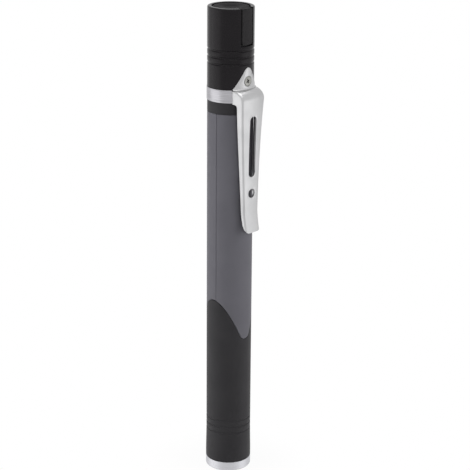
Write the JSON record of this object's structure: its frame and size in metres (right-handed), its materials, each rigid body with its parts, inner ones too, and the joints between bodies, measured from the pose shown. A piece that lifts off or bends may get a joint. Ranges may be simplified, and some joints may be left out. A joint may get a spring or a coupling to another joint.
{
  "type": "penlight",
  "caption": "Slim pen-shaped light: push button with a side tongue, black screw-on head, folded steel pocket clip, grey shells on a black barrel, lens and reflector in a bright bezel.",
  "frame": {"origin": "centre of the lamp end, in the plane of the bezel's flat face, on the barrel axis", "axes": "+Z along the barrel from the lamp to the push button, the pocket clip on -Y, +X completes the frame"},
  "size_m": [0.0164, 0.0195, 0.1687],
  "materials": {
    "black_plastic": "satin black moulding",
    "grey_plastic": "matte dark grey moulding",
    "bright_metal": "satin turned",
    "brushed_metal": "brushed round the ring",
    "clip_steel": "satin, bead blasted",
    "screw_steel": "bright",
    "spring_steel": "drawn wire and rolled sheet",
    "contact_brass": "bright",
    "bare_aluminium": "turned",
    "cell_jacket": "plain printed jacket",
    "seal_rubber": "matte",
    "lens_glass": "clear",
    "reflector_plating": "bright plated",
    "lamp_phosphor": "yellow phosphor under a clear dome",
    "board_green": "solder resist",
    "component_black": "moulded",
    "white_nylon": "natural"
  },
  "bodies": {
    "barrel": {"barrel": "black_plastic", "front_panel": "grey_plastic", "rear_panel": "grey_plastic", "bezel": "bright_metal", "bezel_seal": "seal_rubber", "lens": "lens_glass", "lens_gasket": "seal_rubber", "reflector": "reflector_plating", "lamp_chip": "lamp_phosphor", "lamp_board": "bare_aluminium", "heat_sink": "bare_aluminium", "lamp_leads": "contact_brass", "driver_board": "board_green", "driver_parts": "component_black", "ground_tube": "bare_aluminium", "contact_insulator": "white_nylon", "positive_contact": "contact_brass", "lower_cell": "cell_jacket", "upper_cell": "cell_jacket", "contact_strip": "contact_brass"},
    "neck_seal": {"neck_seal": "seal_rubber"},
    "head": {"head_shell": "black_plastic", "collar": "brushed_metal", "clip_tab": "clip_steel", "clip_screw": "screw_steel", "spring_plate": "spring_steel", "cell_spring": "spring_steel", "contact_ring": "contact_brass", "floor_rivets": "contact_brass", "switch_board": "board_green", "switch_body": "component_black", "guide_bush": "component_black", "button_spring": "spring_steel"},
    "button": {"push_button": "black_plastic", "retaining_ring": "spring_steel", "switch_plunger": "white_nylon"},
    "clip": {"clip_leaf": "clip_steel"}
  },
  "joints": [
    {"name": "head_lift", "type": "slide", "parent": "barrel", "child": "neck_seal", "axis": [0, 0, 1], "range_m": [0, 0.003]},
    {"name": "head_turn", "type": "hinge", "parent": "neck_seal", "child": "head", "pos_m": [0, 0, 0.1368], "axis": [0, 0, 1], "range_deg": [0, 1081]},
    {"name": "button_press", "type": "slide", "parent": "head", "child": "button", "axis": [0, 0, -1], "range_m": [0, 0.00045], "stiffness_N_per_m": 300, "springref_m": -0.003, "deforming": ["button_spring"]},
    {"name": "clip_flex", "type": "hinge", "parent": "head", "child": "clip", "pos_m": [0, -0.0083, 0.1413], "axis": [-1, 0, 0], "range_deg": [0, 5], "stiffness_Nm_per_rad": 1.5, "springref_deg": -0.57}
  ],
  "couplings": [
    {"joint": "head_turn", "follows": "head_lift", "rad_per_m": 6283.2}
  ]
}
